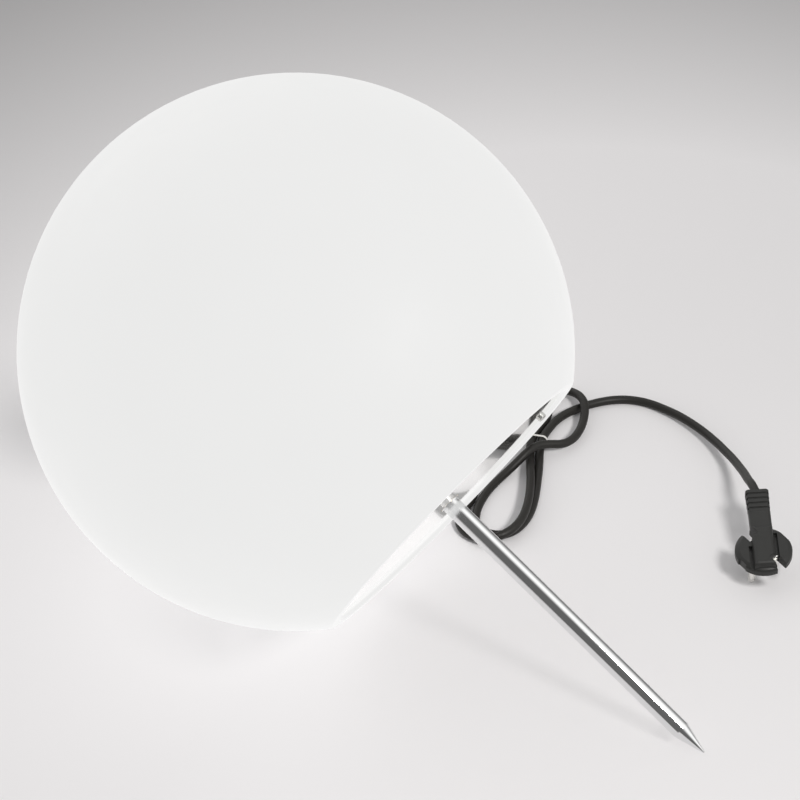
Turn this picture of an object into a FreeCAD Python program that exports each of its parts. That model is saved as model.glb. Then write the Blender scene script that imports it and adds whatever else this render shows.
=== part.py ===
import FreeCAD, Part
import math
import os

import Sketcher
from FreeCAD import Placement, Rotation, Vector

document = FreeCAD.newDocument("GlobeLight")

# Driving sizes in mm, angles in degrees.
sizes = {
    "globe_radius": 175.0,
    "globe_wall": 3.0,
    "flat_standoff": 138.0,
    "rim_round": 2.0,
    "lip_depth": 2.6,
    "plate_radius": 100.0,
    "plate_thickness": 3.0,
    "plate_clearance": 0.5,
    "gasket_thickness": 1.5,
    "gasket_width": 4.6,
    "flange_thickness": 4.0,
    "mouth_radius": 80.0,
    "mouth_clearance": 0.6,
    "spigot_wall": 1.4,
    "spigot_length": 8.0,
    "lug_reach": 5.1,
    "lug_width": 14.0,
    "lug_thickness": 2.2,
    "notch_clearance": 1.0,
    "rib_thickness": 2.0,
    "rib_height": 6.0,
    "boss_radius": 14.0,
    "insert_radius": 7.5,
    "insert_depth": 16.0,
    "stud_radius": 3.9,
    "stud_clearance": 0.05,
    "stud_reach": 15.0,
    "washer_thickness": 1.0,
    "washer_radius": 7.0,
    "spike_radius": 6.0,
    "spike_wall": 1.0,
    "spike_length": 220.6,
    "tip_length": 20.0,
    "tip_radius": 0.6,
    "plug_in_length": 15.0,
    "plug_in_clearance": 0.02,
    "screw_circle": 92.0,
    "screw_azimuth": 10.0,
    "screw_shank": 1.45,
    "screw_head_radius": 3.0,
    "screw_head_height": 2.2,
    "screw_length": 9.5,
    "post_radius": 4.0,
    "post_spread": 24.0,
    "post_height": 10.0,
    "bracket_width": 20.0,
    "bracket_sheet": 1.5,
    "bracket_rise": 15.9,
    "nipple_radius": 5.0,
    "nipple_bore": 3.5,
    "holder_radius": 20.5,
    "holder_length": 50.5,
    "holder_bore": 14.4,
    "cap_radius": 13.2,
    "sleeve_wall": 0.7,
    "bulb_radius": 30.0,
    "bulb_wall": 1.2,
    "bulb_neck": 14.2,
    "gland_polar": 56.0,
    "gland_roll": 30.0,
    "gland_bore": 2.95,
    "gland_radius": 8.0,
    "gland_flange": 11.0,
    "boot_length": 19.4,
    "cord_radius": 2.9,
    "wire_radius": 1.1,
    "block_offset": 45.0,
    "plug_x": 186.2,
    "plug_y": 162.8,
    "plug_z": 20.3,
    "plug_turn": 72.5,
    "plug_tilt": 6.0,
    "plug_roll": 8.0,
    "neck_turn": 55.0,
    "plug_radius": 18.7,
    "plug_thickness": 7.0,
    "neck_width": 14.4,
    "neck_height": 10.0,
    "ridge_height": 11.0,
    "relief_start": 29.0,
    "relief_end": 48.0,
    "pin_radius": 2.4,
    "pin_shank": 2.0,
    "pin_depth": 3.8,
    "pin_length": 19.0,
    "pin_spacing": 19.0,
    "earth_notch_width": 7.0,
    "earth_notch_depth": 9.0,
}

# Cord routes in the assembly frame, in mm.
leadPoints = [
    (-9.6, 147.9, 44.1), (-7.0, 154.7, 38.2), (-4.6, 161.7, 32.4), (-3.9, 169.3, 26.9),
    (-6.2, 177.0, 22.2), (-11.4, 183.6, 18.2), (-19.0, 187.7, 14.7), (-27.8, 188.4, 11.9),
    (-36.1, 185.2, 9.4), (-42.1, 178.5, 7.4), (-44.7, 169.8, 5.7), (-44.0, 160.6, 4.5),
    (-40.9, 151.7, 3.7), (-36.0, 143.8, 3.3), (-29.4, 137.3, 3.1), (-21.8, 131.7, 3.1),
    (-14.9, 125.4, 3.1),
]

hankPoints = [
    (-14.9, 125.4, 3.1), (-11.2, 117.1, 3.1), (-10.0, 107.7, 3.1), (-8.3, 98.5, 3.1),
    (-3.8, 90.5, 3.1), (4.2, 85.6, 3.2), (13.7, 84.2, 4.3), (22.3, 85.4, 6.3), (29.0, 90.9, 8.7),
    (32.2, 99.2, 9.7), (32.1, 108.5, 9.7), (29.9, 117.6, 9.5), (26.5, 126.3, 9.2),
    (22.5, 134.6, 8.8), (18.1, 142.4, 8.3), (13.5, 149.9, 7.9), (8.5, 157.4, 7.3),
    (2.8, 165.6, 5.8), (-3.1, 174.1, 3.6), (-8.3, 181.8, 3.4), (-12.7, 189.9, 3.8),
    (-15.6, 198.9, 3.8), (-17.0, 208.2, 3.4), (-17.9, 217.2, 3.3), (-21.2, 224.6, 3.2),
    (-26.7, 231.3, 3.1), (-30.2, 240.1, 3.2), (-25.6, 247.4, 5.1), (-17.4, 248.2, 6.9),
    (-8.5, 244.6, 9.3), (-1.2, 238.8, 9.7), (3.8, 231.0, 7.9), (7.4, 222.5, 6.0), (9.7, 213.5, 5.4),
    (10.5, 204.5, 5.9), (8.7, 196.0, 7.2), (3.0, 188.6, 9.7), (-2.3, 180.7, 11.3),
    (-4.0, 171.4, 10.6), (-5.8, 163.1, 6.9), (-7.6, 154.9, 4.0), (-8.3, 146.2, 3.1),
    (-8.2, 136.8, 3.1), (-7.2, 127.5, 3.1), (-5.2, 118.3, 3.1), (-2.2, 109.4, 3.1),
    (2.1, 101.1, 3.1), (8.9, 94.8, 3.1), (18.0, 93.5, 3.1), (26.0, 98.0, 3.1), (30.3, 106.2, 3.1),
    (30.7, 115.5, 3.1), (29.1, 124.7, 3.1), (26.1, 133.7, 3.1), (22.2, 142.2, 3.1),
    (17.9, 150.6, 3.1), (13.3, 158.8, 3.1), (8.8, 166.9, 3.1), (3.9, 175.0, 3.1),
    (-1.1, 182.9, 3.3), (-5.6, 191.1, 3.8), (-9.0, 199.6, 3.8), (-10.6, 208.7, 3.4),
]

tailPoints = [
    (-10.6, 208.7, 3.4), (-11.5, 218.0, 3.4), (-10.7, 227.4, 3.3), (-7.8, 236.5, 3.1),
    (-3.9, 245.1, 3.1), (1.1, 253.0, 3.1), (7.1, 260.2, 3.2), (14.3, 266.0, 3.2),
    (22.7, 270.2, 3.2), (31.8, 272.6, 3.5), (41.1, 273.1, 4.1), (50.4, 272.2, 4.9),
    (59.4, 270.2, 6.1), (68.2, 267.2, 7.4), (76.7, 263.5, 9.0), (84.9, 259.3, 10.8),
    (93.0, 254.1, 13.2), (101.0, 248.7, 15.6), (108.8, 242.7, 18.2), (116.5, 236.3, 20.9),
    (124.2, 229.6, 23.7), (131.8, 222.8, 26.6), (139.1, 216.9, 29.6), (146.1, 211.7, 32.4),
    (152.1, 207.0, 34.7), (157.8, 199.6, 33.2),
]

sheet = document.addObject("Spreadsheet::Sheet", "Sizes")
for row, (alias, amount) in enumerate(sizes.items(), start=1):
    sheet.set("A%d" % row, alias)
    sheet.set("B%d" % row, str(amount))
    sheet.setAlias("B%d" % row, alias)
document.recompute()


def plain(amount):
    return amount.number if isinstance(amount, Size) else float(amount)


class Size:
    # A length that keeps its spreadsheet expression beside its number.
    def __init__(self, text, number):
        self.text = text
        self.number = float(number)

    def join(self, sign, other, number):
        text = other.text if isinstance(other, Size) else repr(float(other))
        return Size("(%s %s %s)" % (self.text, sign, text), number)

    def __add__(self, other):
        return self.join("+", other, self.number + plain(other))

    def __sub__(self, other):
        return self.join("-", other, self.number - plain(other))

    def __mul__(self, other):
        return self.join("*", other, self.number * plain(other))

    def __truediv__(self, other):
        return self.join("/", other, self.number / plain(other))

    def __neg__(self):
        return Size("(-1 * %s)" % self.text, -self.number)


def cell(alias):
    return Size("Sizes." + alias, sheet.get(alias))


def arcSine(amount):
    return Size("asin(%s)" % amount.text, math.degrees(math.asin(amount.number)))


def arcTangent(amount):
    return Size("atan(%s)" % amount.text, math.degrees(math.atan(amount.number)))


def sine(amount):
    return Size("sin(%s)" % amount.text, math.sin(math.radians(amount.number)))


def cosine(amount):
    return Size("cos(%s)" % amount.text, math.cos(math.radians(amount.number)))


def squareRoot(amount):
    return Size("sqrt(%s)" % amount.text, math.sqrt(amount.number))


# Distances t are measured from the globe's centre along the spike.
globeRadius = cell("globe_radius")
flatEnd = cell("flat_standoff")
plateFace = flatEnd - cell("lip_depth")
plateBack = plateFace - cell("plate_thickness")
flangeFace = plateBack - cell("gasket_thickness")
flangeBack = flangeFace - cell("flange_thickness")
recessRadius = cell("plate_radius") + cell("plate_clearance")
spigotRadius = cell("mouth_radius") - cell("mouth_clearance")
lugRadius = spigotRadius + cell("lug_reach")
tubeStart = plateFace + cell("washer_thickness")
tipEnd = tubeStart + cell("spike_length")
tipStart = tipEnd - cell("tip_length")
insertBottom = plateFace - cell("insert_depth")
studBottom = plateFace - cell("stud_reach")
threadBore = cell("stud_radius") + cell("stud_clearance")
postTop = plateBack - cell("post_height")
bracketTop = postTop - cell("bracket_rise")
holderBase = bracketTop
holderMouth = holderBase - cell("holder_length")
holderFloor = holderBase - 22
capRim = holderMouth - 1.5
capTip = holderFloor - 4.1
bulbCentre = capRim - 54.5

slant = squareRoot(tipEnd * tipEnd + cell("tip_radius") * cell("tip_radius"))
lean = arcSine(globeRadius / slant) - arcTangent(cell("tip_radius") / tipEnd)
tipReach = tipEnd * cosine(lean) + cell("tip_radius") * sine(lean)
centreX = (globeRadius - tipReach) / 2

centre = Vector(centreX.number, 0, globeRadius.number)
spikeFrame = Placement(centre, Rotation(Vector(0, 1, 0), 90 + lean.number))


def bind(thing, path, amount):
    if isinstance(amount, Size):
        thing.setExpression(path, amount.text)
    else:
        setattr(thing, path, amount)


def move(thing, x, y, z, rotation=None):
    thing.Placement = Placement(Vector(plain(x), plain(y), plain(z)), rotation or Rotation())
    for axis, amount in (("x", x), ("y", y), ("z", z)):
        if isinstance(amount, Size):
            thing.setExpression(".Placement.Base." + axis, amount.text)
    return thing


def about(degrees):
    return Rotation(Vector(0, 0, 1), degrees)


def cylinder(label, radius, low, high, x=0, y=0):
    thing = document.addObject("Part::Cylinder", label)
    bind(thing, "Radius", radius)
    bind(thing, "Height", high - low)
    return move(thing, x, y, low)


def box(label, length, width, height, x, y, z, degrees=0):
    thing = document.addObject("Part::Box", label)
    bind(thing, "Length", length)
    bind(thing, "Width", width)
    bind(thing, "Height", height)
    return move(thing, x, y, z, about(degrees))


def spoke(label, start, end, width, low, high, degrees):
    # A radial bar between two radii, turned round the axis.
    swing = math.radians(degrees)
    side = plain(width) / 2
    x = plain(start) * math.cos(swing) + side * math.sin(swing)
    y = plain(start) * math.sin(swing) - side * math.cos(swing)
    return box(label, end - start, width, high - low, x, y, low, degrees)


def fuse(label, pieces):
    thing = document.addObject("Part::MultiFuse", label)
    thing.Shapes = pieces
    return thing


def cut(label, base, tools):
    thing = document.addObject("Part::Cut", label)
    thing.Base = base
    thing.Tool = tools[0] if len(tools) == 1 else fuse(label + "_tools", tools)
    return thing


def outline(sketch, corners):
    count = len(corners)
    numbers = [Vector(plain(across), plain(along), 0) for across, along in corners]
    for index in range(count):
        sketch.addGeometry(Part.LineSegment(numbers[index], numbers[(index + 1) % count]), False)
    for index in range(count):
        sketch.addConstraint(Sketcher.Constraint("Coincident", index, 2, (index + 1) % count, 1))
    for index, corner in enumerate(corners):
        for kind, amount in zip(("DistanceX", "DistanceY"), corner):
            number = sketch.addConstraint(Sketcher.Constraint(kind, -1, 1, index, 1, plain(amount)))
            if isinstance(amount, Size):
                sketch.setExpression("Constraints[%d]" % number, amount.text)


def turned(label, corners):
    body = document.addObject("PartDesign::Body", label)
    sketch = body.newObject("Sketcher::SketchObject", label + "_profile")
    plane = [item for item in body.Origin.OriginFeatures if item.Role == "XZ_Plane"][0]
    sketch.AttachmentSupport = (plane, [""])
    sketch.MapMode = "FlatFace"
    outline(sketch, corners)
    turn = body.newObject("PartDesign::Revolution", label + "_turn")
    turn.Profile = sketch
    turn.ReferenceAxis = (sketch, ["V_Axis"])
    turn.Angle = 360
    return body


def ring(label, outer, inner, low, high):
    return turned(label, [(inner, low), (outer, low), (outer, high), (inner, high)])


def prism(label, across, low, high):
    thing = document.addObject("Part::Prism", label)
    thing.Polygon = 6
    bind(thing, "Circumradius", across / math.cos(math.pi / 6))
    bind(thing, "Height", high - low)
    return move(thing, 0, 0, low)


def onSpikeAxis(thing):
    thing.Placement = spikeFrame
    thing.setExpression(".Placement.Base.x", centreX.text)
    thing.setExpression(".Placement.Base.z", globeRadius.text)
    return thing


# Gland direction: polar angle from the spike, rolled below the level line.
polar = math.radians(sizes["gland_polar"])
roll = math.radians(sizes["gland_roll"])
glandAxis = Vector(math.sin(polar) * math.sin(roll), math.sin(polar) * math.cos(roll), math.cos(polar))
glandTurn = Rotation(Vector(0, 0, 1), glandAxis)
glandFrame = spikeFrame.multiply(Placement(Vector(), glandTurn))
spotFace = globeRadius - 0.45
wallFace = globeRadius - cell("globe_wall") - 4
glandTop = spotFace + 1
nutStart = glandTop + 3
neckTop = nutStart + 5.45
nutEnd = nutStart + 8
bootEnd = nutEnd + cell("boot_length") + 0.05


def onGlandAxis(thing):
    thing.Placement = glandFrame
    thing.setExpression(".Placement.Base.x", centreX.text)
    thing.setExpression(".Placement.Base.z", globeRadius.text)
    return thing


def glandCylinder(label, radius, low, high):
    thing = document.addObject("Part::Cylinder", label)
    bind(thing, "Radius", radius)
    bind(thing, "Height", high - low)
    thing.Placement = Placement(glandAxis * low.number, glandTurn)
    return thing


def screwPlace(radius):
    azimuth = math.radians(90 + sizes["screw_azimuth"])
    return plain(radius) * math.cos(azimuth), plain(radius) * math.sin(azimuth)


def globeShell():
    solid = document.addObject("Part::Sphere", "globe_outer")
    bind(solid, "Radius", globeRadius)
    solid.Angle1 = -90
    bind(solid, "Angle2", arcSine(flatEnd / globeRadius))
    document.recompute()
    rimRadius = squareRoot(globeRadius * globeRadius - flatEnd * flatEnd)
    rim = document.addObject("Part::Fillet", "globe_rim")
    rim.Base = solid
    rimEdges = []
    for index, edge in enumerate(solid.Shape.Edges, start=1):
        if abs(edge.BoundBox.XLength - rimRadius.number * 2) < 0.1 and edge.BoundBox.ZLength < 0.1:
            rimEdges.append((index, sizes["rim_round"], sizes["rim_round"]))
    rim.Edges = rimEdges
    boss = glandCylinder("globe_gland_boss", 13, wallFace, wallFace + 4.5)
    solids = fuse("globe_solids", [hollowGlobe(rim), boss])
    spot = glandCylinder("globe_spot_face", 11.3, spotFace, spotFace + 6)
    bore = glandCylinder("globe_gland_hole", cell("gland_radius") + 0.1, wallFace - 4, spotFace + 6)
    return onSpikeAxis(cut("globe_shell", solids, [spot, bore]))


def hollowGlobe(rim):
    innerRadius = globeRadius - cell("globe_wall")
    hollow = document.addObject("Part::Sphere", "globe_hollow")
    bind(hollow, "Radius", innerRadius)
    hollow.Angle1 = -90
    bind(hollow, "Angle2", arcSine(flangeBack / innerRadius))
    recess = cylinder("globe_recess", recessRadius, flangeFace, flatEnd + 2)
    mouth = cylinder("globe_mouth", cell("mouth_radius"), flangeBack - 1, flangeFace + 1)
    tools = [hollow, recess, mouth]
    notchEnd = lugRadius + cell("notch_clearance")
    notchWidth = cell("lug_width") + cell("notch_clearance") * 2
    for number in range(3):
        tools.append(spoke("globe_notch_%d" % number, cell("mouth_radius") - 6, notchEnd, notchWidth,
                           flangeBack - 1, flangeFace + 1, 35 + 120 * number))
    x, y = screwPlace(cell("screw_circle"))
    hole = cell("screw_shank") + 0.02
    tools.append(cylinder("globe_screw_hole", hole, flangeBack - 1, flangeFace + 1, x, y))
    return cut("globe_hollowed", rim, tools)


def basePlate():
    spigotEnd = plateBack - cell("spigot_length")
    bossEnd = insertBottom - 5
    insert = cell("insert_radius")
    boss = cell("boss_radius")
    inner = spigotRadius - cell("spigot_wall")
    disc = turned("plate_disc", [
        (0, bossEnd), (boss, bossEnd), (boss, plateBack), (inner, plateBack), (inner, spigotEnd),
        (spigotRadius, spigotEnd), (spigotRadius, plateBack), (cell("plate_radius"), plateBack),
        (cell("plate_radius"), plateFace), (insert, plateFace), (insert, insertBottom), (0, insertBottom)])
    solids = [disc]
    lugEnd = flangeBack - 0.3
    for number in range(3):
        solids.append(spoke("plate_lug_%d" % number, inner + 0.2, lugRadius, cell("lug_width"),
                            lugEnd - cell("lug_thickness"), lugEnd, 120 * number))
    for number in range(6):
        solids.append(spoke("plate_rib_%d" % number, boss - 1, inner + 0.5, cell("rib_thickness"),
                            plateBack - cell("rib_height"), plateBack, 60 * number))
    spread = cell("post_spread")
    tools = []
    for side, x in (("a", spread), ("b", -spread)):
        solids.append(cylinder("plate_post_" + side, cell("post_radius"), postTop, plateBack, x))
        tools.append(cylinder("plate_post_hole_" + side, cell("screw_shank") + 0.02,
                              postTop - 1, postTop + 8, x))
    x, y = screwPlace(cell("screw_circle"))
    tools.append(cylinder("plate_screw_hole", cell("screw_shank") + 0.75, plateBack - 1, plateFace + 1, x, y))
    return onSpikeAxis(cut("base_plate", fuse("plate_solids", solids), tools))


def screw(label, headFace, headHeight, length, x, y):
    # Pan head above headFace, cross recess in its top, shank away from it.
    shank = cell("screw_shank")
    head = cell("screw_head_radius")
    up = 1 if plain(headHeight) > 0 else -1
    pan = turned(label + "_blank", [
        (0, headFace + headHeight), (head - 0.7, headFace + headHeight),
        (head, headFace + headHeight - 0.8 * up), (head, headFace), (shank, headFace),
        (shank, headFace - length + 0.8 * up), (shank - 0.7, headFace - length), (0, headFace - length)])
    recess = headFace + headHeight - 1.1 * up
    if up < 0:
        recess = headFace + headHeight
    bars = [box(label + "_slot_a", 3.4, 0.8, 1.1, -1.7, -0.4, recess),
            box(label + "_slot_b", 0.8, 3.4, 1.1, -0.4, -1.7, recess)]
    thing = cut(label, pan, bars)
    thing.Placement = spikeFrame.multiply(Placement(Vector(plain(x), plain(y), 0), Rotation()))
    return thing


def spikePieces():
    ring("spike_insert", cell("insert_radius"), threadBore, insertBottom, plateFace)
    ring("spike_washer", cell("washer_radius"), threadBore, plateFace, tubeStart)
    bore = cell("spike_radius") - cell("spike_wall")
    ring("spike_tube", cell("spike_radius"), bore, tubeStart, tipStart)
    plugged = bore - cell("plug_in_clearance")
    stud = cell("stud_radius")
    turned("spike_stud", [
        (0, studBottom), (stud - 0.8, studBottom), (stud, studBottom + 0.8), (stud, tubeStart),
        (plugged, tubeStart), (plugged, tubeStart + cell("plug_in_length")),
        (0, tubeStart + cell("plug_in_length"))])
    turned("spike_tip", [
        (0, tipStart - 10), (plugged, tipStart - 10), (plugged, tipStart), (cell("spike_radius"), tipStart),
        (cell("tip_radius"), tipEnd), (0, tipEnd)])
    return [onSpikeAxis(document.getObject(label)) for label in
            ("spike_insert", "spike_washer", "spike_tube", "spike_stud", "spike_tip")]


def baseGasket():
    outer = recessRadius - 0.5
    return onSpikeAxis(ring("base_gasket", outer, outer - cell("gasket_width"), flangeFace, plateBack))


def holderBracket():
    sheetMetal = cell("bracket_sheet")
    width = cell("bracket_width")
    reach = cell("post_spread") + 6
    legOut = cell("boss_radius") + 5
    flat = box("bracket_top", legOut * 2, width, sheetMetal, -legOut, width / -2, bracketTop)
    solids = [flat]
    for side, x, foot in (("a", legOut - sheetMetal, legOut - sheetMetal), ("b", -legOut, -reach)):
        height = cell("bracket_rise")
        solids.append(box("bracket_leg_" + side, sheetMetal, width, height, x, width / -2, bracketTop))
        solids.append(box("bracket_foot_" + side, reach - legOut + sheetMetal, width, sheetMetal,
                          foot, width / -2, postTop - sheetMetal))
    hole = cylinder("bracket_hole", cell("nipple_radius") + 0.1, bracketTop - 1, bracketTop + 3)
    tools = [hole]
    for side, x in (("a", cell("post_spread")), ("b", -cell("post_spread"))):
        tools.append(cylinder("bracket_screw_hole_" + side, cell("screw_shank") + 0.3,
                              postTop - 4, postTop + 1, x))
    return onSpikeAxis(cut("holder_bracket", fuse("bracket_solids", solids), tools))


def lampholder():
    nipple = cell("nipple_radius")
    holder = cell("holder_radius")
    bore = cell("holder_bore")
    nippleTop = holderBase - 6.5
    nippleEnd = bracketTop + 5.5
    ring("holder_nipple", nipple, cell("nipple_bore"), nippleTop, nippleEnd)
    nutFace = bracketTop + cell("bracket_sheet")
    nut = cut("holder_nut", prism("holder_nut_blank", nipple + 3, nutFace, nutFace + 2.5),
              [cylinder("holder_nut_bore", nipple + 0.05, nutFace - 1, nutFace + 4)])
    turned("lampholder_body", [
        (bore, holderMouth), (holder - 1, holderMouth), (holder, holderMouth + 1),
        (holder, holderBase - 6), (holder - 4.5, holderBase), (nipple + 0.05, holderBase),
        (nipple + 0.05, holderBase - 7.5), (13, holderBase - 7.5), (13, holderBase - 17),
        (2, holderBase - 17), (2, holderFloor), (bore, holderFloor)])
    sleeve = bore - 0.1
    ring("lampholder_sleeve", sleeve, sleeve - cell("sleeve_wall"), holderMouth + 2, holderFloor - 2.5)
    turned("lampholder_contact", [
        (0, holderFloor - 2.3), (4, holderFloor - 2.3), (4, holderFloor - 1), (5.4, holderFloor - 1),
        (5.4, holderFloor), (0, holderFloor)])
    return [onSpikeAxis(thing) for thing in (
        document.getObject("holder_nipple"), nut, document.getObject("lampholder_body"),
        document.getObject("lampholder_sleeve"), document.getObject("lampholder_contact"))]


def bulb():
    cap = cell("cap_radius")
    neck = cell("bulb_neck")
    radius = cell("bulb_radius")
    rim = bulbCentre + 17
    turned("bulb_cap", [
        (cap - 0.6, capRim), (cap, capRim), (cap, capTip - 2.4), (6, capTip), (3.6, capTip),
        (3.6, capTip - 1.2), (5.6, capTip - 1.2), (cap - 0.6, capTip - 3.6)])
    turned("bulb_contact", [
        (0, capTip - 1.2), (3.55, capTip - 1.2), (3.55, capTip + 0.6), (2.4, holderFloor - 2.3),
        (0, holderFloor - 2.3)])
    turned("bulb_housing", [
        (11, capRim + 8), (cap - 0.62, capRim + 8), (cap - 0.62, capRim), (neck, capRim),
        (radius - 1, rim), (radius - 1, rim - 4), (radius - 2.6, rim - 4), (radius - 2.6, rim),
        (11, capRim + 1.5)])
    ring("bulb_board", radius - 4, 2, rim + 0.4, rim + 2)
    outer = document.addObject("Part::Sphere", "bulb_dome_outer")
    bind(outer, "Radius", radius)
    outer.Angle1 = -90
    outer.Angle2 = 30
    inner = document.addObject("Part::Sphere", "bulb_dome_inner")
    bind(inner, "Radius", radius - cell("bulb_wall"))
    inner.Angle1 = -90
    inner.Angle2 = 32
    move(outer, 0, 0, bulbCentre)
    move(inner, 0, 0, bulbCentre)
    dome = cut("bulb_dome", outer, [inner])
    return [onSpikeAxis(thing) for thing in (
        document.getObject("bulb_cap"), document.getObject("bulb_contact"),
        document.getObject("bulb_housing"), document.getObject("bulb_board"), dome)]


def terminals():
    offset = cell("block_offset")
    top = plateBack - 14
    block = box("terminal_block_blank", 30, 20, plateBack - top, -15, offset - 10, top)
    holes = []
    things = []
    for side, x in (("a", -7), ("b", 7)):
        holes.append(cylinder("terminal_hole_" + side, 2, top - 1, top + 6, x, offset))
        shank = turned("terminal_screw_%s_blank" % side, [(0, top + 0.5), (1.98, top + 0.5),
                                                            (1.98, top + 6), (0, top + 6)])
        slot = box("terminal_slot_" + side, 4.4, 0.7, 0.9, -2.2, -0.35, top + 0.2)
        thing = cut("terminal_screw_" + side, shank, [slot])
        thing.Placement = spikeFrame.multiply(Placement(Vector(x, offset.number, 0), Rotation()))
        things.append(thing)
    return [onSpikeAxis(cut("terminal_block", block, holes))] + things


def gland():
    bore = cell("gland_bore")
    thread = cell("gland_radius")
    turned("gland_body", [
        (bore, wallFace - 7), (thread, wallFace - 7), (thread, glandTop), (cell("gland_flange"), glandTop),
        (cell("gland_flange"), nutStart), (7.2, nutStart), (7.2, neckTop), (bore, neckTop)])
    ring("gland_seal", cell("gland_flange") - 0.2, thread + 0.3, spotFace, glandTop)
    locknut = cut("gland_locknut", prism("gland_locknut_blank", thread + 3, wallFace - 3.5, wallFace),
                  [cylinder("gland_locknut_bore", thread + 0.05, wallFace - 5, wallFace + 1)])
    nut = cut("gland_nut", prism("gland_nut_blank", 10.5, nutStart, nutEnd),
              [cylinder("gland_nut_bore", 7.25, nutStart - 1, neckTop + 1.05),
               cylinder("gland_nut_mouth", 5.05, nutStart, nutEnd + 1)])
    turned("gland_boot", [
        (bore, neckTop), (6.9, neckTop), (6.9, neckTop + 1), (5, neckTop + 1), (5, nutEnd + 0.5),
        (3.8, bootEnd), (bore, bootEnd)])
    return [onGlandAxis(thing) for thing in (
        document.getObject("gland_body"), document.getObject("gland_seal"), locknut, nut,
        document.getObject("gland_boot"))]


def tubeSolid(label, points, radius):
    # Straight runs joined by tangent arcs, 0.45 of the shorter run each side.
    points = [Vector(*point) for point in points]
    edges = []
    radii = []
    last = points[0]
    for before, corner, after in zip(points, points[1:], points[2:]):
        inward = corner - before
        outward = after - corner
        turn = inward.getAngle(outward)
        if turn < 0.003:
            continue
        tangent = 0.45 * min(inward.Length, outward.Length)
        inward.normalize()
        outward.normalize()
        arcRadius = tangent / math.tan(turn / 2)
        start = corner - inward * tangent
        end = corner + outward * tangent
        bisector = (outward - inward).normalize()
        middle = corner + bisector * (arcRadius / math.cos(turn / 2) - arcRadius)
        if (start - last).Length > 1e-4:
            edges.append(Part.LineSegment(last, start).toShape())
        edges.append(Part.Arc(start, middle, end).toShape())
        radii.append(arcRadius)
        last = end
    edges.append(Part.LineSegment(last, points[-1]).toShape())
    path = Part.Wire(edges)
    section = Part.Wire(Part.makeCircle(radius, points[0], points[1] - points[0]))
    solid = path.makePipeShell([section], True, False)
    share = solid.Volume / (math.pi * radius ** 2 * path.Length)
    smallest = min(radii) if radii else 0
    print("%s: length %.1f, volume share %.4f, smallest arc %.1f" % (label, path.Length, share, smallest))
    print("   arcs", " ".join("%.0f" % item for item in radii))
    return solid


def tube(label, points, radius, frame=None):
    thing = document.addObject("Part::Feature", label)
    thing.Shape = tubeSolid(label, points, radius)
    thing.Placement = frame or Placement()
    return thing


def innerWiring():
    side = sizes["block_offset"]
    middle = plateBack.number - 7
    exitPoint = glandAxis * bootEnd.number
    turnPoint = glandAxis * (wallFace.number - 22)
    cable = [exitPoint, glandAxis * (wallFace.number + 8), turnPoint, (50, 88, 79.5), (42, 72, 87),
             (36, 60, 101), (30, 50, 115), (23, side, middle), (15, side, middle)]
    things = [tube("inner_cable", cable, sizes["cord_radius"], spikeFrame)]
    for name, x in (("wire_live", 5), ("wire_neutral", -5)):
        wire = [(x, side - 10, middle), (x, side - 16, middle), (x, side - 23, middle - 3),
                (x, side - 30, middle - 9), (x, side - 32, middle - 14.5), (x, side - 32, holderBase.number)]
        things.append(tube(name, wire, sizes["wire_radius"], spikeFrame))
    return things


def halfway(first, second):
    return tuple((one + other) / 2 for one, other in zip(first, second))


def cords():
    start = glandFrame.multVec(Vector(0, 0, bootEnd.number))
    beyond = glandFrame.multVec(Vector(0, 0, bootEnd.number + 9.3))
    leadEnd = halfway(leadPoints[-2], leadPoints[-1])
    hankEnd = halfway(hankPoints[-2], hankPoints[-1])
    lead = [tuple(start), tuple(beyond)] + leadPoints[2:-1] + [leadEnd]
    hank = [leadEnd] + hankPoints[:-1] + [hankEnd]
    middle = sizes["neck_height"] / 2
    plugEnd = neckPlace(sizes["relief_end"], middle)
    plugBeyond = neckPlace(sizes["relief_end"] + 9.4, middle)
    tail = [hankEnd] + tailPoints[:-2] + [tuple(plugBeyond), tuple(plugEnd)]
    radius = sizes["cord_radius"]
    return [tube("cord_lead", lead, radius), tube("cord_hank", hank, radius), tube("cord_tail", tail, radius)]


def cordTie():
    near = Vector(*halfway(hankPoints[-3], hankPoints[-2]))
    run = (Vector(*hankPoints[-2]) - Vector(*hankPoints[-3])).normalize()
    apart = 6.7
    band = 1.5
    grip = cell("cord_radius") + 0.35
    solids = []
    for layer, radius, low, high in (("outer", grip + 0.5, 0, band), ("inner", grip, -1, band + 1)):
        height = high - low
        first = document.addObject("Part::Cylinder", "tie_%s_a" % layer)
        second = document.addObject("Part::Cylinder", "tie_%s_b" % layer)
        for thing, x in ((first, 0), (second, apart)):
            bind(thing, "Radius", radius)
            thing.Height = height
            move(thing, x, 0, low)
        bar = box("tie_%s_bar" % layer, apart, radius * 2, height, 0, -radius, low)
        solids.append(fuse("tie_" + layer, [first, second, bar]))
    thing = cut("cord_tie", solids[0], [solids[1]])
    across = Vector(-run.y, run.x, 0).normalize()
    thing.Placement = Placement(near - run * (band / 2), Rotation(across, Vector(), run, "ZXY"))
    return thing


plugLean = Rotation(Vector(1, 0, 0), sizes["plug_tilt"]).multiply(Rotation(Vector(0, -1, 0), sizes["plug_roll"]))
plugTurn = about(sizes["plug_turn"]).multiply(plugLean)
plugFrame = Placement(Vector(sizes["plug_x"], sizes["plug_y"], sizes["plug_z"]), plugTurn)


def onPlug(thing, x=0):
    thing.Placement = plugFrame.multiply(Placement(Vector(x, 0, 0), Rotation()))
    return thing


def neckPlace(reach, height):
    swing = math.radians(sizes["neck_turn"])
    return plugFrame.multVec(Vector(reach * math.cos(swing), reach * math.sin(swing), height))


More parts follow.
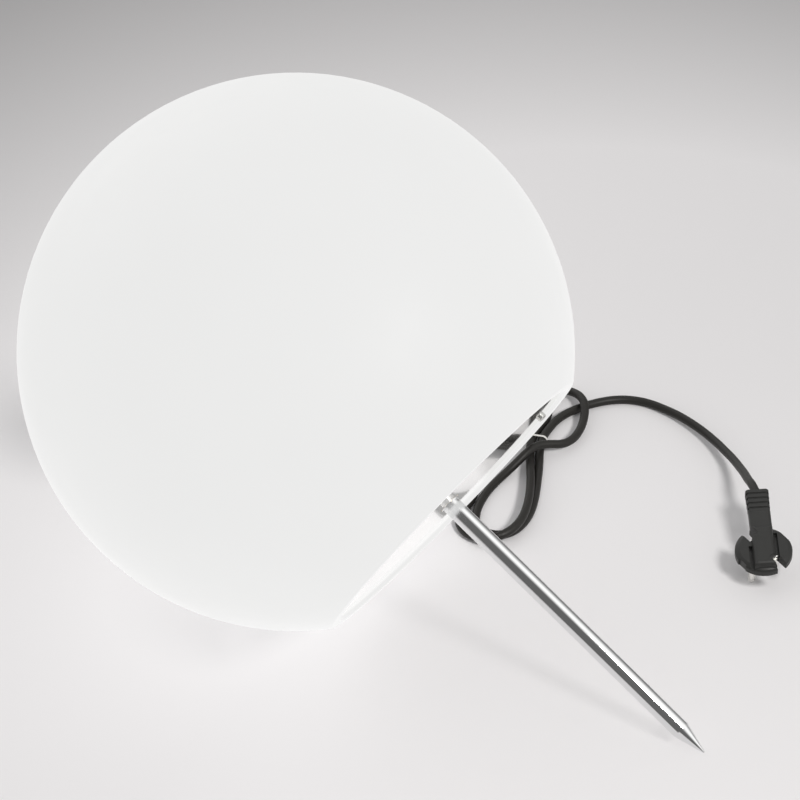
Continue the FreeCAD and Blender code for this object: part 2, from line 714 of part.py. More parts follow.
def besideNeck(label, near, far, side, width, low, high):
    # A bar along the neck's line, moved sideways from it.
    swing = math.radians(sizes["neck_turn"])
    x = near * math.cos(swing) - side * math.sin(swing)
    y = near * math.sin(swing) + side * math.cos(swing)
    return box(label, far - near, width, high - low, x, y, low, sizes["neck_turn"])


def softened(label, base, radius, chosen):
    document.recompute()
    thing = document.addObject("Part::Fillet", label)
    thing.Base = base
    thing.Edges = [(number, radius, radius) for number, edge in enumerate(base.Shape.Edges, start=1)
                   if chosen(edge.BoundBox)]
    return thing


def plugFront():
    thick = cell("plug_thickness")
    radius = cell("plug_radius")
    return turned("plug_front", [
        (0, 0), (radius - 0.8, 0), (radius, 0.8), (radius, thick - 2.4), (radius - 0.8, thick - 1.2),
        (radius - 3, thick), (0, thick)])


def plugRidge():
    reach = sizes["plug_radius"] - 2.2
    side = sizes["neck_width"] / 2
    bar = besideNeck("plug_ridge_bar", -reach, reach, -side, side * 2, 0.5, sizes["ridge_height"])
    top = sizes["ridge_height"] - 0.1
    ridge = softened("plug_ridge", bar, 3.2, lambda bounds: bounds.ZMin > top)
    neckBar = besideNeck("plug_neck_bar", 0, sizes["relief_start"], -side, side * 2, 0.4,
                         sizes["neck_height"] - 0.4)
    neck = softened("plug_neck", neckBar, 2.6,
                    lambda bounds: isAlongNeck(bounds, sizes["relief_start"]))
    return [ridge, neck]


def plugBody():
    radius = sizes["plug_radius"]
    above = sizes["ridge_height"] + 4
    side = sizes["neck_width"] / 2
    notchWidth = cell("earth_notch_width")
    depth = cell("earth_notch_depth") + 2
    bottom = cell("plug_radius") - cell("earth_notch_depth")
    grooveFloor = sizes["pin_depth"] + 0.6
    tools = [
        box("plug_notch_a", notchWidth, depth, above, notchWidth / -2, bottom, -2),
        box("plug_notch_b", notchWidth, depth, above, notchWidth / -2, -(bottom + depth), -2),
        box("plug_flat_a", 3, 7, above, radius - 1.3, -3.5, -2),
        box("plug_flat_b", 3, 7, above, -(radius + 1.7), -3.5, -2),
        besideNeck("plug_groove_a", -(radius + 1), 2, side, 2.4, grooveFloor, above),
        besideNeck("plug_groove_b", -9, 12, -(side + 2.4), 2.4, grooveFloor, above)]
    spacing = cell("pin_spacing") / 2
    for end, x in (("a", spacing), ("b", -spacing)):
        tools.append(cylinder("plug_socket_" + end, cell("pin_shank") + 0.01, Size("-2", -2),
                              cell("pin_depth"), x))
    return onPlug(cut("plug_body", fuse("plug_solids", [plugFront()] + plugRidge()), tools))


def plug():
    notchWidth = cell("earth_notch_width")
    bottom = cell("plug_radius") - cell("earth_notch_depth")
    things = [plugBody()]
    radius = cell("pin_radius")
    tip = -cell("pin_length")
    for side, x in (("a", sizes["pin_spacing"] / 2), ("b", sizes["pin_spacing"] / -2)):
        pin = turned("plug_pin_" + side, [
            (0, tip), (radius - 0.9, tip), (radius, tip + 1.4), (radius, 0), (cell("pin_shank"), 0),
            (cell("pin_shank"), cell("pin_depth")), (0, cell("pin_depth"))])
        things.append(onPlug(pin, x))
    clipWidth = notchWidth - 1
    strip = cell("plug_thickness") - 1.4
    for side, y in (("a", bottom), ("b", -(bottom + 0.8))):
        clip = box("plug_earth_clip_%s_strip" % side, clipWidth, 0.8, strip, clipWidth / -2, y, 0.5)
        lip = box("plug_earth_clip_%s_lip" % side, clipWidth - 2, 1.6, 0.8, (clipWidth - 2) / -2,
                  y if side == "a" else -(bottom + 1.6), 4)
        things.append(onPlug(fuse("plug_earth_clip_" + side, [clip, lip])))
    return things + [plugRelief()]


def plugRelief():
    start = sizes["relief_start"]
    end = sizes["relief_end"]
    high = sizes["neck_height"]
    side = sizes["neck_width"] / 2
    solids = [besideNeck("relief_core", start, end, 0.9 - side, (side - 0.9) * 2, 1.2, high - 1.2)]
    ribs = 5
    rib = 2.5
    pitch = (end - start - rib) / (ribs - 1)
    for number in range(ribs):
        near = start + pitch * number
        wide = side + 0.12 * number
        bar = besideNeck("relief_bar_%d" % number, near, near + rib, -wide, wide * 2, 0.4, high - 0.4)
        solids.append(softened("relief_rib_%d" % number, bar, 2.4, lambda bounds: isAlongNeck(bounds, rib)))
    return onPlug(fuse("plug_relief", solids))


def isAlongNeck(bounds, length):
    swing = math.radians(sizes["neck_turn"])
    return (bounds.ZLength < 0.1 and abs(bounds.XLength - length * math.cos(swing)) < 0.1
            and abs(bounds.YLength - length * math.sin(swing)) < 0.1)


pieces = [globeShell(), basePlate(), baseGasket()]
lockX, lockY = screwPlace(cell("screw_circle"))
pieces.append(screw("lock_screw", plateFace, cell("screw_head_height"), cell("screw_length"), lockX, lockY))
pieces += spikePieces()
pieces.append(holderBracket())
footFace = postTop - cell("bracket_sheet")
for side, x in (("a", cell("post_spread")), ("b", -cell("post_spread"))):
    pieces.append(screw("bracket_screw_" + side, footFace, -cell("screw_head_height"),
                        -cell("screw_length") + 1, x, 0))
pieces += lampholder() + bulb() + terminals() + gland() + innerWiring() + cords()
pieces.append(cordTie())
pieces += plug()

document.recompute()

os.makedirs("parts", exist_ok=True)
for piece in document.Objects:
    if "Invalid" in piece.State or "Error" in piece.State:
        raise RuntimeError("%s does not compute: %s" % (piece.Label, piece.State))
for piece in pieces:
    shape = piece.Shape
    if shape.isNull() or not shape.isValid() or len(shape.Solids) != 1:
        raise RuntimeError("%s is not one valid solid" % piece.Label)
    shape.exportStep("parts/%s.step" % piece.Label)
    limits = shape.BoundBox
    print("%-22s %10.0f mm3  x %.1f %.1f  y %.1f %.1f  z %.1f %.1f" % (
        piece.Label, shape.Volume, limits.XMin, limits.XMax, limits.YMin, limits.YMax, limits.ZMin, limits.ZMax))
print("pieces", len(pieces))
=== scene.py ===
import math

import bpy
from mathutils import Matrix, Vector


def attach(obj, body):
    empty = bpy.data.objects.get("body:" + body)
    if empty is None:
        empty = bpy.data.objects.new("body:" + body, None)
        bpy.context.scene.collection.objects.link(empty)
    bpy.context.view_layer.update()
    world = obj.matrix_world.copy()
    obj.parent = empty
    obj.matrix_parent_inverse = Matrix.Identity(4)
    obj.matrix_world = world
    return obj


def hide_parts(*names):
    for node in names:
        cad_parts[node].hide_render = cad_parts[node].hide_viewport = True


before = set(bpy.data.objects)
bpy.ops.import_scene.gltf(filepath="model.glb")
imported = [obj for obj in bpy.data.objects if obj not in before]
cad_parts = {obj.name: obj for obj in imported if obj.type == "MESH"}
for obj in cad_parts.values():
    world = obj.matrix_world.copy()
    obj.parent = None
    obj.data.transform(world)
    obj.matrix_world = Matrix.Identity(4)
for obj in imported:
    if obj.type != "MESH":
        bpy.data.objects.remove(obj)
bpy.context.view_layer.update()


# Camera

camera = {
    "place": (1.1524, -1.6343, 1.7560),
    "look": (-0.4463, 0.6286, -0.6369),
    "lens": 184.77,
    "sensor": 36.0,
    "shiftX": 0.0318,
    "shiftY": 0.0998,
}
# Level directions: away from the camera, and to its right
ahead = Vector((camera["look"][0], camera["look"][1], 0.0)).normalized()
sideways = Vector((ahead.y, -ahead.x, 0.0))


def makeCamera(settings):
    data = bpy.data.cameras.new("camera")
    data.lens = settings["lens"]
    data.sensor_width = settings["sensor"]
    data.shift_x = settings["shiftX"]
    data.shift_y = settings["shiftY"]
    thing = bpy.data.objects.new("camera", data)
    thing.location = settings["place"]
    thing.rotation_euler = Vector(settings["look"]).to_track_quat("-Z", "Y").to_euler()
    bpy.context.scene.collection.objects.link(thing)
    bpy.context.scene.camera = thing


makeCamera(camera)
print("camera done")


# Nodes of the materials

def feed(tree, socket, value):
    if isinstance(value, bpy.types.NodeSocket):
        tree.links.new(value, socket)
    else:
        socket.default_value = value


def node(tree, kind, inputs=None, **attributes):
    made = tree.nodes.new("ShaderNode" + kind)
    for name, value in attributes.items():
        setattr(made, name, value)
    for name, value in (inputs or {}).items():
        feed(tree, made.inputs[name], value)
    return made


def calculate(tree, operation, first, second=0.0):
    return node(tree, "Math", {0: first, 1: second}, operation=operation).outputs[0]


def times(tree, first, second):
    return calculate(tree, "MULTIPLY", first, second)


def measure(tree, operation, place, other):
    return node(tree, "VectorMath", {0: place, 1: other}, operation=operation).outputs["Value"]


def spread(tree, value, low, high, fromLow=0.0, fromHigh=1.0, curve="LINEAR"):
    return node(tree, "MapRange", {
        "Value": value, "From Min": fromLow, "From Max": fromHigh, "To Min": low, "To Max": high,
    }, interpolation_type=curve).outputs["Result"]


def clouds(tree, place, size, detail=3.0):
    return node(tree, "TexNoise", {"Vector": place, "Scale": 1.0 / size, "Detail": detail}).outputs["Fac"]


def shade(colour, factor):
    return tuple(min(part * factor, 1.0) for part in colour) + (1.0,)


def between(tree, factor, first, second):
    mix = node(tree, "Mix", {"Factor": factor}, data_type="RGBA")
    colourInputs = [socket for socket in mix.inputs if socket.type == "RGBA"]
    for socket, value in zip(colourInputs, (first, second)):
        feed(tree, socket, value)
    return next(socket for socket in mix.outputs if socket.type == "RGBA")


def newMaterial(name):
    material = bpy.data.materials.new(name)
    material.use_nodes = True
    material.node_tree.nodes.clear()
    return material


def finishMaterial(tree, shader, shadowPass=0.0, mirrorPass=0.0):
    # shadowPass is the share of the light that passes through the piece,
    # and mirrorPass is how far the piece stays out of reflections.
    surfaceEnd = shader.outputs[0]
    if shadowPass:
        rays = node(tree, "LightPath")
        share = times(tree, rays.outputs["Is Shadow Ray"], shadowPass)
        if mirrorPass:
            mirrored = times(tree, rays.outputs["Is Glossy Ray"], mirrorPass)
            share = calculate(tree, "MAXIMUM", share, mirrored)
        clear = node(tree, "BsdfTransparent")
        surfaceEnd = node(tree, "MixShader", {0: share, 1: surfaceEnd, 2: clear.outputs[0]}).outputs[0]
    node(tree, "OutputMaterial", {"Surface": surfaceEnd})


# Surfaces, each from a look below

finish = {
    "roughnessSwing": 0.2,
    "roughnessFiner": 3,  # times finer than the clouds of the colour
    "grainDetail": 2.0,
    "grainFlatness": 4,  # times wider than deep
    "facingBlend": 0.5,
    "softenSamples": 6,
    "unlit": (0.0, 0.0, 0.0, 1.0),
}


def towardsEdge(tree, look, low, high):
    # low where the surface is seen from the front, high where it is seen at a low angle
    facing = node(tree, "LayerWeight", {"Blend": finish["facingBlend"]}).outputs["Facing"]
    return spread(tree, facing, low, high, look["edgeStart"], look["edgeFull"])


# For the globe and the base plate the glow is painted light in place of the light and shade falling on
# them: glowCast is how much of it lights other things, and edgeGlow how much of it is left where the
# surface is seen at a low angle.
def glowStrength(tree, look):
    glow = look.get("glow", 0.0)
    if "edgeGlow" in look:
        glow = times(tree, glow, towardsEdge(tree, look, 1.0, look["edgeGlow"]))
    if "glowCast" in look:
        diffuse = node(tree, "LightPath").outputs["Is Diffuse Ray"]
        glow = times(tree, glow, spread(tree, diffuse, 1.0, look["glowCast"]))
    return glow


def mirrorOver(tree, look, place, shader):
    # The mirror shows at a low angle, on the side that polishWay points to.
    aside = measure(tree, "DOT_PRODUCT", place, look["polishWay"])
    polish = spread(tree, aside, 0.0, 1.0, look["polishStart"], look["polishFull"])
    share = times(tree, towardsEdge(tree, look, 0.0, look["mirror"]), polish)
    glossy = node(tree, "BsdfAnisotropic", {
        "Color": look["mirrorColour"], "Roughness": look["mirrorRoughness"],
    })
    return node(tree, "MixShader", {0: share, 1: shader.outputs[0], 2: glossy.outputs[0]})


def surface(name, look):
    material = newMaterial(name)
    tree = material.node_tree
    place = node(tree, "TexCoord").outputs["Object"]
    colour = between(tree, clouds(tree, place, look["cloudSize"]),
                     shade(look["colour"], 1 - look["mottle"]), shade(look["colour"], 1 + look["mottle"]))
    # lit is the share of the colour that takes light; where it is low, the glow gives the rest as painted
    # light.
    lit = between(tree, look.get("lit", 1.0), finish["unlit"], colour)
    roughness = spread(tree, clouds(tree, place, look["cloudSize"] / finish["roughnessFiner"]),
                       look["roughness"] * (1 - finish["roughnessSwing"]),
                       look["roughness"] * (1 + finish["roughnessSwing"]))
    bump = node(tree, "Bump", {
        "Height": clouds(tree, place, look["grainSize"], finish["grainDetail"]),
        "Strength": look["grain"], "Distance": look["grainSize"] / finish["grainFlatness"],
    })
    if "soften" in look:
        rounded = node(tree, "Bevel", {"Radius": look["soften"]}, samples=finish["softenSamples"])
        feed(tree, bump.inputs["Normal"], rounded.outputs[0])
    shader = node(tree, "BsdfPrincipled", {
        "Base Color": lit, "Roughness": roughness, "Metallic": look.get("metallic", 0.0),
        "Normal": bump.outputs["Normal"], "Specular IOR Level": look.get("specular", 0.5),
        "Emission Color": colour, "Emission Strength": glowStrength(tree, look),
    })
    if "mirror" in look:
        shader = mirrorOver(tree, look, place, shader)
    finishMaterial(tree, shader, look.get("shadowPass", 0.0), look.get("mirrorPass", 0.0))
    return material


def paint(material, *names):
    for name in names:
        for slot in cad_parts[name].material_slots:
            slot.material = material


# Materials of the hard pieces

looks = {
    # globe: painted light, nearly all glow with little lit colour, so it shows evenly white with no
    # shading
    "globe": {"colour": (0.84, 0.84, 0.835), "mottle": 0.012, "cloudSize": 0.08, "roughness": 0.50,
              "grain": 0.03, "grainSize": 0.0006, "glow": 0.965, "shadowPass": 1.0, "lit": 0.03,
              "specular": 0.10, "glowCast": 0.82},
    # plate: painted light, a glow over partly lit colour keeps the base plate evenly bright, and the glow
    # fades towards a low angle
    "plate": {"colour": (0.80, 0.795, 0.785), "mottle": 0.010, "cloudSize": 0.05, "roughness": 0.05,
              "grain": 0.01, "grainSize": 0.002, "glow": 0.76, "shadowPass": 0.9, "lit": 0.30,
              "glowCast": 0.35, "edgeGlow": 0.47, "edgeStart": 0.70, "edgeFull": 0.92, "mirror": 0.95,
              "mirrorColour": (0.97, 0.97, 0.96, 1.0), "mirrorRoughness": 0.04,
              # polished from polishStart on, along polishWay, which points to the lock screw
              "polishWay": (0.307, 0.774, 0.548), "polishStart": 0.099, "polishFull": 0.109},
    "gasket": {"colour": (0.72, 0.72, 0.70), "mottle": 0.10, "cloudSize": 0.01, "roughness": 0.75,
               "grain": 0.30, "grainSize": 0.0005, "shadowPass": 1.0},
    "chrome": {"colour": (0.78, 0.785, 0.79), "mottle": 0.02, "cloudSize": 0.03, "roughness": 0.07,
               "grain": 0.02, "grainSize": 0.0008, "metallic": 1.0, "shadowPass": 0.95, "mirrorPass": 1.0},
    "steel": {"colour": (0.56, 0.56, 0.55), "mottle": 0.08, "cloudSize": 0.01, "roughness": 0.30,
              "grain": 0.10, "grainSize": 0.0004, "metallic": 1.0, "shadowPass": 1.0},
    "screws": {"colour": (0.62, 0.62, 0.60), "mottle": 0.08, "cloudSize": 0.004, "roughness": 0.22,
               "grain": 0.08, "grainSize": 0.0003, "metallic": 1.0, "shadowPass": 1.0},
    "brass": {"colour": (0.72, 0.50, 0.20), "mottle": 0.08, "cloudSize": 0.006, "roughness": 0.28,
              "grain": 0.10, "grainSize": 0.0004, "metallic": 1.0, "shadowPass": 1.0},
    "nickel": {"colour": (0.66, 0.63, 0.58), "mottle": 0.05, "cloudSize": 0.006, "roughness": 0.20,
               "grain": 0.06, "grainSize": 0.0004, "metallic": 1.0, "shadowPass": 1.0},
    "black": {"colour": (0.050, 0.049, 0.047), "mottle": 0.12, "cloudSize": 0.008, "roughness": 0.48,
              "grain": 0.25, "grainSize": 0.0003, "shadowPass": 1.0},
    "plug": {"colour": (0.021, 0.021, 0.020), "mottle": 0.15, "cloudSize": 0.008, "roughness": 0.45,
             "grain": 0.30, "grainSize": 0.0005, "specular": 0.30, "soften": 0.0006, "shadowPass": 0.35},
    "pins": {"colour": (0.88, 0.87, 0.84), "mottle": 0.03, "cloudSize": 0.004, "roughness": 0.28,
             "grain": 0.05, "grainSize": 0.0004, "metallic": 1.0},
    "holder": {"colour": (0.055, 0.054, 0.052), "mottle": 0.05, "cloudSize": 0.012, "roughness": 0.30,
               "grain": 0.06, "grainSize": 0.0006, "shadowPass": 1.0},
    "bulbHousing": {"colour": (0.80, 0.80, 0.78), "mottle": 0.02, "cloudSize": 0.02, "roughness": 0.35,
                    "grain": 0.04, "grainSize": 0.0006, "shadowPass": 1.0},
    "bulbDiffuser": {"colour": (0.86, 0.85, 0.82), "mottle": 0.02, "cloudSize": 0.03, "roughness": 0.55,
                     "grain": 0.05, "grainSize": 0.0005, "glow": 0.05, "shadowPass": 1.0},
    "board": {"colour": (0.84, 0.84, 0.82), "mottle": 0.15, "cloudSize": 0.004, "roughness": 0.45,
              "grain": 0.20, "grainSize": 0.0004, "shadowPass": 1.0},
    "block": {"colour": (0.75, 0.73, 0.66), "mottle": 0.04, "cloudSize": 0.006, "roughness": 0.45,
              "grain": 0.10, "grainSize": 0.0004, "shadowPass": 1.0},
    "tie": {"colour": (0.80, 0.79, 0.76), "mottle": 0.05, "cloudSize": 0.003, "roughness": 0.40,
            "grain": 0.15, "grainSize": 0.0003},
    "live": {"colour": (0.24, 0.11, 0.05), "mottle": 0.06, "cloudSize": 0.004, "roughness": 0.45,
             "grain": 0.08, "grainSize": 0.0003, "shadowPass": 1.0},
    "neutral": {"colour": (0.05, 0.13, 0.42), "mottle": 0.06, "cloudSize": 0.004, "roughness": 0.45,
                "grain": 0.08, "grainSize": 0.0003, "shadowPass": 1.0},
}
materials = {name: surface(name, look) for name, look in looks.items()}

paint(materials["globe"], "globe_shell")
paint(materials["plate"], "base_plate")
paint(materials["gasket"], "base_gasket", "gland_seal")
paint(materials["chrome"], "spike_tube", "spike_tip", "spike_washer")
paint(materials["pins"], "plug_pin_a", "plug_pin_b", "plug_earth_clip_a", "plug_earth_clip_b")
paint(materials["steel"], "spike_stud", "holder_bracket")
paint(materials["screws"], "lock_screw", "bracket_screw_a", "bracket_screw_b", "terminal_screw_a",
      "terminal_screw_b", "holder_nut", "lampholder_contact", "bulb_contact")
paint(materials["brass"], "spike_insert", "holder_nipple")
paint(materials["nickel"], "lampholder_sleeve", "bulb_cap")
paint(materials["black"], "gland_body", "gland_locknut", "gland_nut", "gland_boot", "inner_cable")
paint(materials["holder"], "lampholder_body")
paint(materials["bulbHousing"], "bulb_housing")
paint(materials["bulbDiffuser"], "bulb_dome")
paint(materials["board"], "bulb_board")
paint(materials["block"], "terminal_block")
paint(materials["live"], "wire_live")
paint(materials["neutral"], "wire_neutral")
paint(materials["plug"], "plug_body", "plug_relief")
print("materials done")


# Floor

# Apart from a faint mottle and tint, the floor's colour is painted light and shade: lighter and darker by
# place as the light would fall.
floorLook = {
    "size": 6.0,
    "near": 0.835,
    "far": 0.935,
    "nearAlong": 0.234,
    "farAlong": 0.72,
    "side": -0.125,
    "sideReach": 0.3,
    "middle": (0.0615, 0.1602, 0.0),
    "edgeStart": 0.421,
    "edgeDark": 1.40,
    "most": 0.52,
    "backStart": -0.05,
    "backFull": 0.15,
    "paleStart": 0.78,
    "paleEnd": 1.40,
    "cloudSize": 0.35,
    "cloudDetail": 2.0,
    "mottle": 0.015,
    "red": 1.013,
    "blue": 1.015,
    "roughness": 0.65,
    "specular": 0.25,
    "grain": 0.05,
    "grainSize": 0.0015,
    "grainDepth": 0.0003,
}


def paintedFloorLight(tree, place, settings):
    along = measure(tree, "DOT_PRODUCT", place, ahead)
    across = measure(tree, "DOT_PRODUCT", place, sideways)
    reach = measure(tree, "DISTANCE", place, settings["middle"])
    # Painted light: brighter from near to far along the view.
    shine = spread(tree, along, settings["near"], settings["far"],
                   settings["nearAlong"], settings["farAlong"])
    # Painted shade: the floor darkens away from its middle, towards the back, and all round in what the
    # chrome mirrors.
    beyond = calculate(tree, "MAXIMUM", calculate(tree, "SUBTRACT", reach, settings["edgeStart"]), 0.0)
    dark = calculate(tree, "MINIMUM", times(tree, beyond, settings["edgeDark"]), settings["most"])
    back = spread(tree, along, 0.0, 1.0, settings["backStart"], settings["backFull"])
    pale = spread(tree, reach, 1.0, 0.0, settings["paleStart"], settings["paleEnd"])
    glossy = node(tree, "LightPath").outputs["Is Glossy Ray"]
    share = calculate(tree, "MAXIMUM", times(tree, back, pale), glossy)
    shine = calculate(tree, "SUBTRACT", shine, times(tree, dark, share))
    # Painted shade: darker towards the camera's right.
    limit = settings["sideReach"]
    slope = spread(tree, across, -limit * settings["side"], limit * settings["side"], -limit, limit)
    shine = calculate(tree, "ADD", shine, slope)
    cloud = clouds(tree, place, settings["cloudSize"], settings["cloudDetail"])
    return times(tree, shine, spread(tree, cloud, 1 - settings["mottle"], 1 + settings["mottle"]))


def floorMaterial(settings):
    material = newMaterial("floor")
    tree = material.node_tree
    place = node(tree, "TexCoord").outputs["Object"]
    shine = paintedFloorLight(tree, place, settings)
    colour = node(tree, "CombineColor", {
        0: times(tree, shine, settings["red"]), 1: shine, 2: times(tree, shine, settings["blue"]),
    }).outputs[0]
    bump = node(tree, "Bump", {
        "Height": clouds(tree, place, settings["grainSize"], finish["grainDetail"]),
        "Strength": settings["grain"], "Distance": settings["grainDepth"],
    })
    shader = node(tree, "BsdfPrincipled", {
        "Base Color": colour, "Roughness": settings["roughness"], "Normal": bump.outputs["Normal"],
        "Specular IOR Level": settings["specular"],
    })
    finishMaterial(tree, shader)
    return material


def makeFloor(settings):
    half = settings["size"] / 2
    corners = [(-half, -half, 0), (half, -half, 0), (half, half, 0), (-half, half, 0)]
    data = bpy.data.meshes.new("floor")
    data.from_pydata(corners, [], [(0, 1, 2, 3)])
    thing = bpy.data.objects.new("floor", data)
    bpy.context.scene.collection.objects.link(thing)
    data.materials.append(floorMaterial(settings))


makeFloor(floorLook)
print("floor done")


# Light

light = {
    "place": (0.58, -0.045, 0.62),
    "radius": 0.08,
    "power": 23.5,
    "colour": (1.0, 0.985, 0.965),
}


def makeLight(settings):
    data = bpy.data.lights.new("softbox", "POINT")
    data.shadow_soft_size = settings["radius"]
    data.energy = settings["power"]
    data.color = settings["colour"]
    data.use_nodes = True
    tree = data.node_tree
    tree.nodes.clear()
    steady = node(tree, "LightFalloff", {"Strength": 1.0}).outputs["Constant"]  # as bright near as far
    shine = node(tree, "Emission", {"Strength": steady})
    node(tree, "OutputLight", {"Surface": shine.outputs[0]})
    thing = bpy.data.objects.new("softbox", data)
    thing.location = settings["place"]
    bpy.context.scene.collection.objects.link(thing)


# Room: an even light all round, a plain backdrop, and for mirrors a bright band towards +Y

room = {
    "colour": (1.0, 0.995, 0.985, 1.0),
    "ambient": 0.41,
    "backdrop": 0.72,
    "bandWay": (0.0, 1.0, 0.0),
    "bandMiddle": 0.33,
    "bandFlat": 0.10,
    "bandEnd": 0.78,
    "bandBright": 1.28,
    "bandDark": 0.15,
}


def makeRoom(settings):
    world = bpy.data.worlds.new("room")
    world.use_nodes = True
    tree = world.node_tree
    tree.nodes.clear()
    way = node(tree, "TexCoord").outputs["Generated"]
    back = measure(tree, "DOT_PRODUCT", way, settings["bandWay"])
    aside = calculate(tree, "ABSOLUTE", calculate(tree, "SUBTRACT", back, settings["bandMiddle"]))
    band = spread(tree, aside, settings["bandBright"], settings["bandDark"],
                  settings["bandFlat"], settings["bandEnd"], curve="SMOOTHSTEP")
    rays = node(tree, "LightPath").outputs
    plain = node(tree, "Mix", {
        "Factor": rays["Is Camera Ray"], 2: settings["ambient"], 3: settings["backdrop"],
    }).outputs[0]
    strength = node(tree, "Mix", {"Factor": rays["Is Glossy Ray"], 2: plain, 3: band}).outputs[0]
    shader = node(tree, "Background", {"Color": settings["colour"], "Strength": strength})
    node(tree, "OutputWorld", {"Surface": shader.outputs[0]})
    bpy.context.scene.world = world


makeLight(light)
makeRoom(room)
bpy.context.scene.view_settings.view_transform = "Standard"
print("light done")


# Strap round two strands of the hank

strap = {
    "centre": (-0.0073, 0.19535, 0.0038),
    "along": (-0.371, 0.929, 0.0),
    "across": (-0.929, -0.371, 0.0),
    "gap": 0.0067,
    "radius": 0.00374,
    "width": 0.0015,
    "thickness": 0.00048,
    "rounding": 0.00012,
    "roundingSteps": 2,
    "sides": 64,
    "middleMargin": 0.00001,
    "smoothAngle": 35,
}


def makeStrap(settings):
    bpy.ops.object.select_all(action="DESELECT")
    centre = Vector(settings["centre"])
    across = Vector(settings["across"]).normalized()
    turned = Vector(settings["along"]).to_track_quat("Z", "Y").to_euler()
    bpy.ops.mesh.primitive_cylinder_add(
        vertices=settings["sides"], radius=settings["radius"], depth=settings["width"],
        end_fill_type="NOTHING", location=settings["centre"], rotation=turned)
    thing = bpy.context.active_object
    thing.name = "strap"
    bpy.ops.object.transform_apply(location=True, rotation=True, scale=True)
    # One half of the ring is pulled away from the other, round the second strand.
    bpy.ops.object.mode_set(mode="EDIT")
    bpy.ops.mesh.select_mode(type="VERT")
    bpy.ops.mesh.select_all(action="DESELECT")
    bpy.ops.object.mode_set(mode="OBJECT")
    for vertex in thing.data.vertices:
        vertex.select = (vertex.co - centre).dot(across) > settings["middleMargin"]
    bpy.ops.object.mode_set(mode="EDIT")
    bpy.ops.transform.translate(value=across * settings["gap"])
    bpy.ops.mesh.select_all(action="SELECT")
    bpy.ops.mesh.normals_make_consistent(inside=False)
    bpy.ops.object.mode_set(mode="OBJECT")
    wall = thing.modifiers.new("wall", "SOLIDIFY")
    wall.thickness = settings["thickness"]
    wall.offset = -1.0
    edge = thing.modifiers.new("edge", "BEVEL")
    edge.width = settings["rounding"]
    edge.segments = settings["roundingSteps"]
    edge.limit_method = "ANGLE"
    for name in ("wall", "edge"):
        bpy.ops.object.modifier_apply(modifier=name)
    bpy.ops.object.shade_smooth_by_angle(angle=math.radians(settings["smoothAngle"]))
    thing.data.materials.append(materials["tie"])
    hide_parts("cord_tie")
    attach(thing, "globe")
    return thing


hankStrap = makeStrap(strap)
print("strap done")


# Cable

cable = {
    "diameter": 0.0058,
    "length": 0.95,
    "ringSteps": 6,
    "pathSteps": 12,
    "order": 3,
    "look": {"colour": (0.0150, 0.0140, 0.0125), "mottle": 0.15, "cloudSize": 0.006, "roughness": 0.45,
             "specular": 0.25, "grain": 0.20, "grainSize": 0.0004},
}

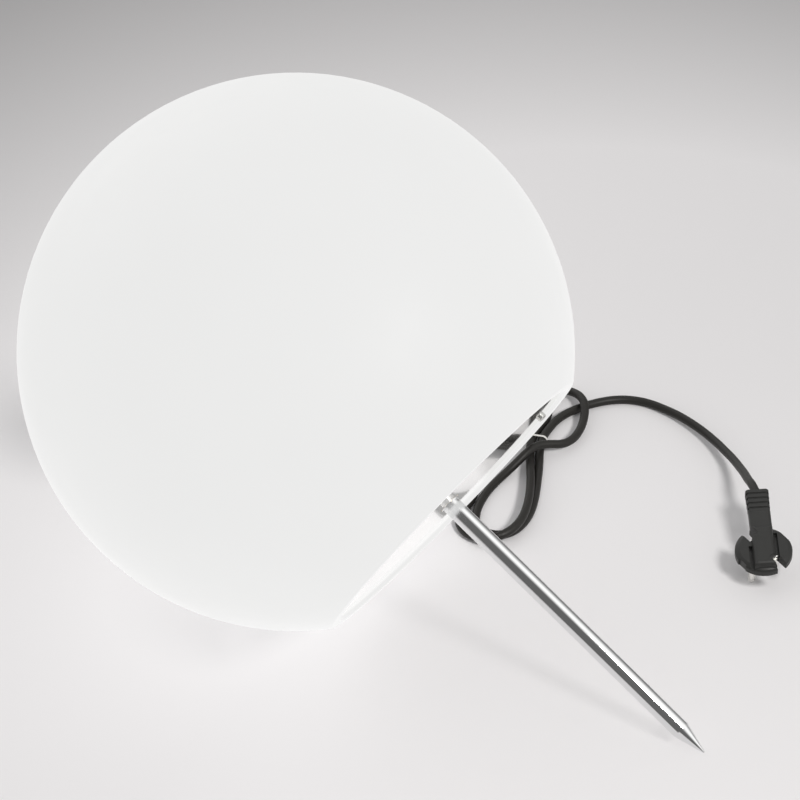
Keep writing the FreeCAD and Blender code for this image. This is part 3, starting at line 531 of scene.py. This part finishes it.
cordRoute = [
    (-0.0096, 0.1479, 0.0442), (-0.0070, 0.1546, 0.0383), (-0.0046, 0.1617, 0.0324),
    (-0.0039, 0.1693, 0.0269), (-0.0062, 0.1770, 0.0222), (-0.0114, 0.1836, 0.0182),
    (-0.0190, 0.1877, 0.0147), (-0.0278, 0.1884, 0.0119), (-0.0361, 0.1852, 0.0094),
    (-0.0421, 0.1785, 0.0074), (-0.0447, 0.1698, 0.0057), (-0.0440, 0.1606, 0.0045),
    (-0.0409, 0.1517, 0.0037), (-0.0360, 0.1438, 0.0033), (-0.0294, 0.1373, 0.0031),
    (-0.0218, 0.1317, 0.0031), (-0.0149, 0.1254, 0.0031), (-0.0112, 0.1171, 0.0031),
    (-0.0100, 0.1077, 0.0031), (-0.0083, 0.0985, 0.0031), (-0.0038, 0.0905, 0.0031),
    (0.0042, 0.0856, 0.0032), (0.0137, 0.0842, 0.0043), (0.0223, 0.0854, 0.0063),
    (0.0290, 0.0909, 0.0087), (0.0322, 0.0992, 0.0097), (0.0321, 0.1085, 0.0097),
    (0.0299, 0.1176, 0.0095), (0.0265, 0.1263, 0.0092), (0.0225, 0.1346, 0.0088),
    (0.0181, 0.1424, 0.0083), (0.0135, 0.1499, 0.0079), (0.0085, 0.1574, 0.0073),
    (0.0028, 0.1656, 0.0058), (-0.0031, 0.1741, 0.0036), (-0.0083, 0.1818, 0.0034),
    (-0.0127, 0.1899, 0.0038), (-0.0156, 0.1989, 0.0038), (-0.0170, 0.2082, 0.0034),
    (-0.0179, 0.2172, 0.0033), (-0.0212, 0.2246, 0.0032), (-0.0267, 0.2313, 0.0031),
    (-0.0302, 0.2401, 0.0032), (-0.0256, 0.2474, 0.0051), (-0.0174, 0.2482, 0.0069),
    (-0.0085, 0.2446, 0.0093), (-0.0012, 0.2388, 0.0097), (0.0038, 0.2310, 0.0079),
    (0.0074, 0.2225, 0.0060), (0.0097, 0.2135, 0.0054), (0.0105, 0.2045, 0.0059),
    (0.0087, 0.1960, 0.0072), (0.0030, 0.1886, 0.0097), (-0.0023, 0.1807, 0.0113),
    (-0.0040, 0.1714, 0.0106), (-0.0058, 0.1631, 0.0069), (-0.0076, 0.1549, 0.0040),
    (-0.0083, 0.1462, 0.0031), (-0.0082, 0.1368, 0.0031), (-0.0072, 0.1275, 0.0031),
    (-0.0052, 0.1183, 0.0031), (-0.0022, 0.1094, 0.0031), (0.0021, 0.1011, 0.0031),
    (0.0089, 0.0948, 0.0031), (0.0180, 0.0935, 0.0031), (0.0260, 0.0980, 0.0031),
    (0.0303, 0.1062, 0.0031), (0.0307, 0.1155, 0.0031), (0.0291, 0.1247, 0.0031),
    (0.0261, 0.1337, 0.0031), (0.0222, 0.1422, 0.0031), (0.0179, 0.1506, 0.0031),
    (0.0133, 0.1588, 0.0031), (0.0088, 0.1669, 0.0031), (0.0039, 0.1750, 0.0031),
    (-0.0011, 0.1829, 0.0033), (-0.0056, 0.1911, 0.0038), (-0.0090, 0.1996, 0.0038),
    (-0.0106, 0.2087, 0.0034), (-0.0115, 0.2180, 0.0034), (-0.0107, 0.2274, 0.0033),
    (-0.0078, 0.2365, 0.0031), (-0.0039, 0.2451, 0.0031), (0.0011, 0.2530, 0.0031),
    (0.0071, 0.2602, 0.0032), (0.0143, 0.2660, 0.0032), (0.0227, 0.2700, 0.0032),
    (0.0321, 0.2718, 0.0035), (0.0418, 0.2714, 0.0041), (0.0509, 0.2705, 0.0049),
    (0.0596, 0.2686, 0.0058), (0.0679, 0.2664, 0.0064), (0.0757, 0.2639, 0.0070),
    (0.0831, 0.2609, 0.0077), (0.0903, 0.2573, 0.0088), (0.0974, 0.2535, 0.0100),
    (0.1043, 0.2489, 0.0116), (0.1115, 0.2440, 0.0136), (0.1187, 0.2382, 0.0162),
    (0.1262, 0.2314, 0.0194), (0.1345, 0.2233, 0.0236), (0.1428, 0.2139, 0.0284),
    (0.1504, 0.2064, 0.0327), (0.1578, 0.1996, 0.0332),
]


def makeCable(settings):
    data = bpy.data.curves.new("cable", "CURVE")
    data.dimensions = "3D"
    data.bevel_depth = settings["diameter"] / 2
    data.bevel_resolution = settings["ringSteps"]
    data.resolution_u = settings["pathSteps"]
    data.use_fill_caps = True
    spline = data.splines.new("NURBS")
    spline.points.add(len(cordRoute) - 1)
    for point, place in zip(spline.points, cordRoute):
        point.co = place + (1.0,)
    spline.order_u = settings["order"]
    spline.use_endpoint_u = True
    thing = bpy.data.objects.new("cable", data)
    bpy.context.scene.collection.objects.link(thing)
    data.materials.append(surface("cable", settings["look"]))
    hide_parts("cord_lead", "cord_hank", "cord_tail")
    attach(thing, "globe")


makeCable(cable)
print("cable done")
